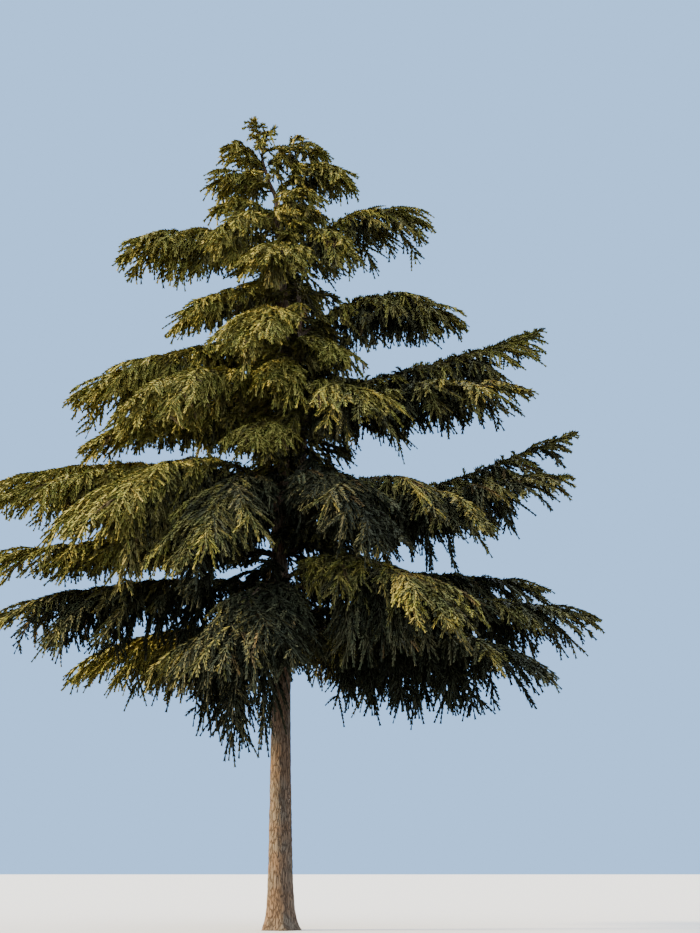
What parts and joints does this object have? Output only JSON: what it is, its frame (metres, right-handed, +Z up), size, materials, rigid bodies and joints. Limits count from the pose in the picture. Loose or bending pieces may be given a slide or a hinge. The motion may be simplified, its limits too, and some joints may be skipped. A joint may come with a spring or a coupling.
{
  "type": "cedar tree",
  "caption": "Mature weeping cedar with a trunk and a second stem, long arching boughs in tiers and drooping masses of needles, fixed to level ground by the flat cut under its trunk.",
  "frame": {"origin": "middle of the flat cut under the trunk, at ground level", "axes": "+Z up along the trunk, +X to the right of the pictured view, +Y away from the viewer"},
  "size_m": [12.6695, 9.574, 17.3594],
  "materials": {
    "bark": "rough grey-brown bark",
    "foliage": "matte olive-green needles"
  },
  "bodies": {
    "root": {"bough_long_left": "bark", "bough_long_right": "bark", "bough_middle_right": "bark", "bough_skirt_left": "bark", "bough_skirt_right": "bark", "foliage_crown_back": "foliage", "foliage_crown_front": "foliage", "foliage_crown_high_left": "foliage", "foliage_crown_high_right": "foliage", "foliage_crown_left": "foliage", "foliage_crown_low_left": "foliage", "foliage_crown_right": "foliage", "foliage_crown_tip": "foliage", "foliage_curtain_front": "foliage", "foliage_curtain_left": "foliage", "foliage_dome_front": "foliage", "foliage_dome_right": "foliage", "foliage_long_back": "foliage", "foliage_long_back_left": "foliage", "foliage_long_back_right": "foliage", "foliage_long_fork_right": "foliage", "foliage_long_heart": "foliage", "foliage_long_heart_right": "foliage", "foliage_long_left": "foliage", "foliage_long_right": "foliage", "foliage_low_fork_left": "foliage", "foliage_low_left": "foliage", "foliage_middle_back_left": "foliage", "foliage_middle_back_right": "foliage", "foliage_middle_fork_right": "foliage", "foliage_middle_front_left": "foliage", "foliage_middle_front_right": "foliage", "foliage_middle_heart": "foliage", "foliage_middle_left": "foliage", "foliage_middle_low_left": "foliage", "foliage_middle_right": "foliage", "foliage_shoulder_back": "foliage", "foliage_shoulder_front": "foliage", "foliage_shoulder_heart": "foliage", "foliage_shoulder_left": "foliage", "foliage_shoulder_right": "foliage", "foliage_skirt_back": "foliage", "foliage_skirt_back_left": "foliage", "foliage_skirt_back_right": "foliage", "foliage_skirt_front": "foliage", "foliage_skirt_front_left": "foliage", "foliage_skirt_front_right": "foliage", "foliage_skirt_high_right": "foliage", "foliage_skirt_left": "foliage", "foliage_skirt_low_left": "foliage", "foliage_skirt_low_right": "foliage", "foliage_skirt_right": "foliage", "foliage_upper_back": "foliage", "foliage_upper_front": "foliage", "foliage_upper_front_right": "foliage", "foliage_upper_heart": "foliage", "foliage_upper_left": "foliage", "foliage_upper_right": "foliage", "second_stem": "bark", "trunk": "bark"}
  },
  "joints": []
}
